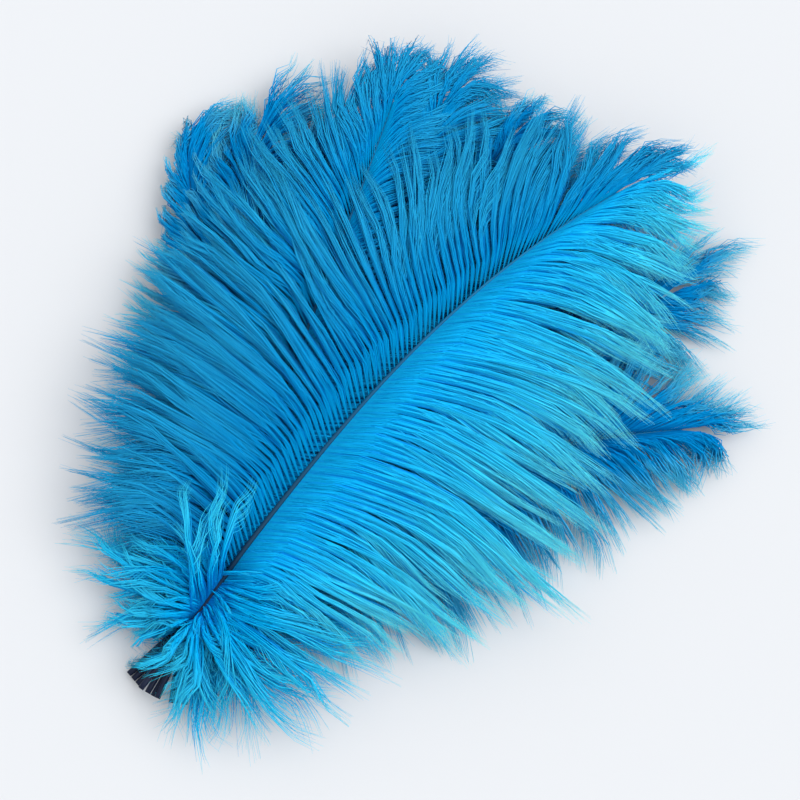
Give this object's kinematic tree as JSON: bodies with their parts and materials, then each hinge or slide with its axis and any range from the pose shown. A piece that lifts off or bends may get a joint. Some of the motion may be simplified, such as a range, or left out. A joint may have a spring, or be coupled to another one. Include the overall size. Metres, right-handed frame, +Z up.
{
  "type": "ostrich plume bunch",
  "caption": "Bunch of large dyed-blue ostrich plumes, bare quills held by an elastic band and plumes fanned out flat, for costumes, masks and decoration.",
  "frame": {"origin": "on the floor under the elastic band, at the middle of its lower facet", "axes": "+Y runs from the band along the top plume, +X to the right seen from above, +Z up from the floor"},
  "size_m": [0.3371, 0.411, 0.0402],
  "materials": {
    "quill": "smooth dyed horn, near black",
    "shaft": "smooth dyed horn",
    "vane": "soft loose barbs, satin sheen",
    "down": "fluffy down, soft sheen",
    "band": "thin natural rubber, slightly glossy"
  },
  "bodies": {
    "tie": {"elastic_band": "band", "plume_01_down_left": "down", "plume_01_quill": "quill", "plume_02_quill": "quill", "plume_03_down_right": "down", "plume_03_quill": "quill", "plume_04_down_left": "down", "plume_04_quill": "quill", "plume_05_quill": "quill", "plume_06_down_right": "down", "plume_06_quill": "quill", "plume_07_down_right": "down", "plume_07_quill": "quill", "plume_08_down_left": "down", "plume_08_quill": "quill", "plume_09_down_left": "down", "plume_09_down_right": "down", "plume_09_quill": "quill", "plume_10_down_left": "down", "plume_10_down_right": "down", "plume_10_quill": "quill"},
    "plume_01": {"plume_01_shaft": "shaft", "plume_01_vane_left": "vane", "plume_01_vane_right": "vane"},
    "plume_02": {"plume_02_shaft": "shaft", "plume_02_vane_left": "vane", "plume_02_vane_right": "vane"},
    "plume_03": {"plume_03_shaft": "shaft", "plume_03_vane_left": "vane", "plume_03_vane_right": "vane"},
    "plume_04": {"plume_04_shaft": "shaft", "plume_04_vane_left": "vane", "plume_04_vane_right": "vane"},
    "plume_05": {"plume_05_shaft": "shaft", "plume_05_vane_left": "vane", "plume_05_vane_right": "vane"},
    "plume_06": {"plume_06_shaft": "shaft", "plume_06_vane_left": "vane", "plume_06_vane_right": "vane"},
    "plume_07": {"plume_07_shaft": "shaft", "plume_07_vane_left": "vane", "plume_07_vane_right": "vane"},
    "plume_08": {"plume_08_shaft": "shaft", "plume_08_vane_left": "vane", "plume_08_vane_right": "vane"},
    "plume_09": {"plume_09_shaft": "shaft", "plume_09_vane_left": "vane", "plume_09_vane_right": "vane"},
    "plume_10": {"plume_10_shaft": "shaft", "plume_10_vane_left": "vane", "plume_10_vane_right": "vane"}
  },
  "joints": [
    {"name": "plume_01_sway", "type": "hinge", "parent": "tie", "child": "plume_01", "pos_m": [-0.00271, 0.05017, 0.0016], "axis": [0, 0, 1], "range_deg": [-7, 7], "stiffness_Nm_per_rad": 0.03},
    {"name": "plume_02_sway", "type": "hinge", "parent": "tie", "child": "plume_02", "pos_m": [0.00345, 0.04988, 0.00468], "axis": [0, 0, 1], "range_deg": [-7, 7], "stiffness_Nm_per_rad": 0.03},
    {"name": "plume_03_sway", "type": "hinge", "parent": "tie", "child": "plume_03", "pos_m": [0.00888, 0.0495, 0.00778], "axis": [0, 0, 1], "range_deg": [-7, 7], "stiffness_Nm_per_rad": 0.03},
    {"name": "plume_04_sway", "type": "hinge", "parent": "tie", "child": "plume_04", "pos_m": [-0.0346, 0.03639, 0.01109], "axis": [0, 0, 1], "range_deg": [-7, 7], "stiffness_Nm_per_rad": 0.03},
    {"name": "plume_05_sway", "type": "hinge", "parent": "tie", "child": "plume_05", "pos_m": [-0.03091, 0.0393, 0.01414], "axis": [0, 0, 1], "range_deg": [-7, 7], "stiffness_Nm_per_rad": 0.03},
    {"name": "plume_06_sway", "type": "hinge", "parent": "tie", "child": "plume_06", "pos_m": [-0.0271, 0.04225, 0.01725], "axis": [0, 0, 1], "range_deg": [-7, 7], "stiffness_Nm_per_rad": 0.03},
    {"name": "plume_07_sway", "type": "hinge", "parent": "tie", "child": "plume_07", "pos_m": [-0.01171, 0.04866, 0.02054], "axis": [0, 0, 1], "range_deg": [-7, 7], "stiffness_Nm_per_rad": 0.03},
    {"name": "plume_08_sway", "type": "hinge", "parent": "tie", "child": "plume_08", "pos_m": [-0.01599, 0.04743, 0.02362], "axis": [0, 0, 1], "range_deg": [-7, 7], "stiffness_Nm_per_rad": 0.03},
    {"name": "plume_09_sway", "type": "hinge", "parent": "tie", "child": "plume_09", "pos_m": [-0.01958, 0.04601, 0.02692], "axis": [0, 0, 1], "range_deg": [-7, 7], "stiffness_Nm_per_rad": 0.03},
    {"name": "plume_10_sway", "type": "hinge", "parent": "tie", "child": "plume_10", "pos_m": [-0.00741, 0.04945, 0.03023], "axis": [0, 0, 1], "range_deg": [-7, 7], "stiffness_Nm_per_rad": 0.03}
  ]
}
